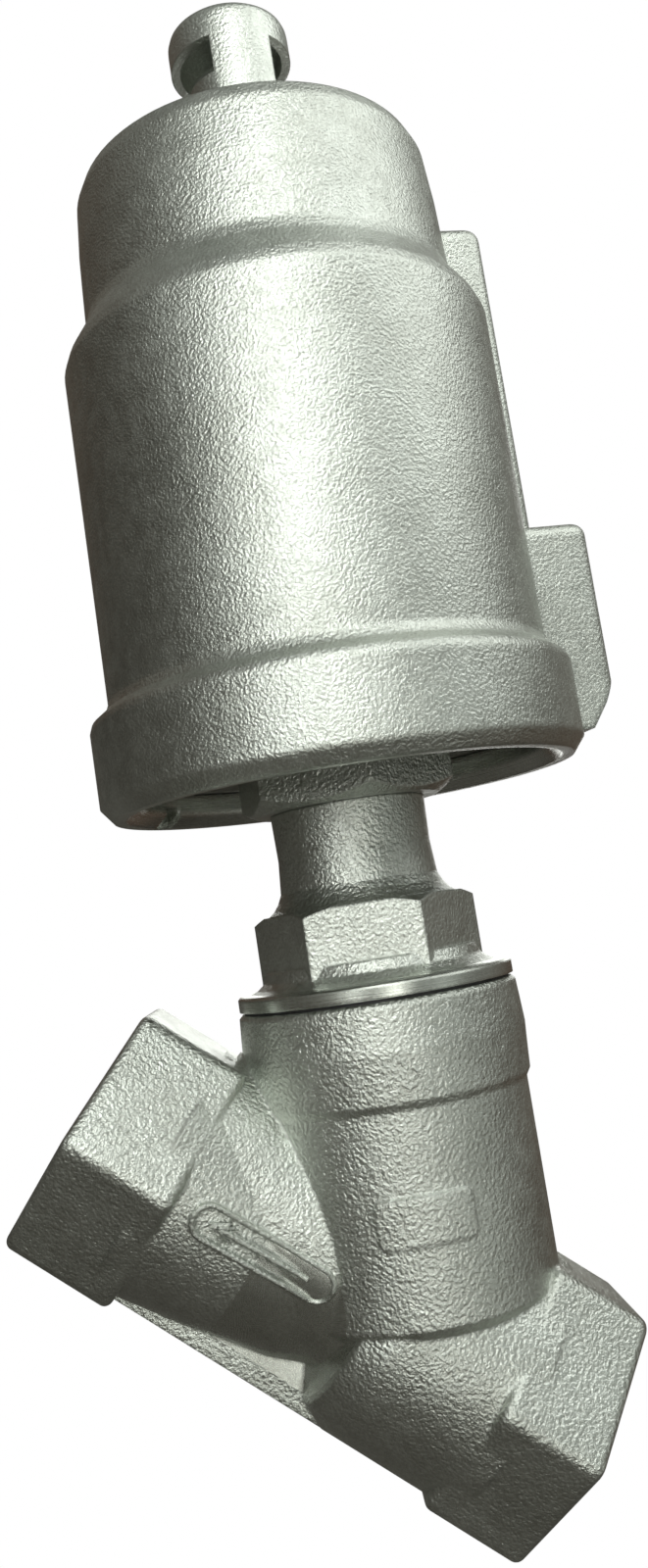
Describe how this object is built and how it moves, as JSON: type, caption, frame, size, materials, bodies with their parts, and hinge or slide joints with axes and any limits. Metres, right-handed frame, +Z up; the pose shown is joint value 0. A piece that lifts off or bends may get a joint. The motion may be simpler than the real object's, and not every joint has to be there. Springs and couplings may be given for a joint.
{
  "type": "angle seat valve",
  "caption": "Pneumatic angle seat valve in cast stainless steel: hexagon-ended threaded body, slanted stem, piston actuator with air ports and a position indicator.",
  "frame": {"origin": "centre of the inlet face, on the pipe axis", "axes": "+X along the pipe in the direction of flow, +Z up; the stem leans towards +X in the XZ plane"},
  "size_m": [0.1761, 0.08, 0.1972],
  "materials": {
    "cast_stainless": "bead-blasted casting",
    "machined_stainless": "fine turned",
    "spring_steel": "satin",
    "ptfe": "matt",
    "rubber": "matt",
    "aluminium": "turned",
    "indicator_plastic": "satin"
  },
  "bodies": {
    "valve": {"actuator_bell": "cast_stainless", "body_gasket": "rubber", "bonnet": "machined_stainless", "cover_rod_seal": "rubber", "end_cover": "machined_stainless", "end_cover_o_ring": "rubber", "guide_bush": "ptfe", "indicator_cap": "cast_stainless", "indicator_seal": "rubber", "inner_spring": "spring_steel", "outer_spring": "spring_steel", "packing_gland": "machined_stainless", "packing_rings": "ptfe", "packing_spring": "spring_steel", "packing_washer": "machined_stainless", "retaining_ring": "spring_steel", "stem_o_ring": "rubber", "stem_wiper": "rubber", "valve_body": "cast_stainless"},
    "moving_stem": {"disc_seal": "ptfe", "disc_washer": "machined_stainless", "indicator_post": "indicator_plastic", "piston": "aluminium", "piston_nut": "machined_stainless", "piston_seal": "rubber", "piston_washer": "machined_stainless", "piston_wear_ring": "ptfe", "plug_disc": "machined_stainless", "stem": "machined_stainless"}
  },
  "joints": [
    {"name": "stem_slide", "type": "slide", "parent": "valve", "child": "moving_stem", "axis": [0.6428, 0, 0.766], "range_m": [0, 0.007], "stiffness_N_per_m": 500, "deforming": ["outer_spring", "inner_spring"]}
  ]
}
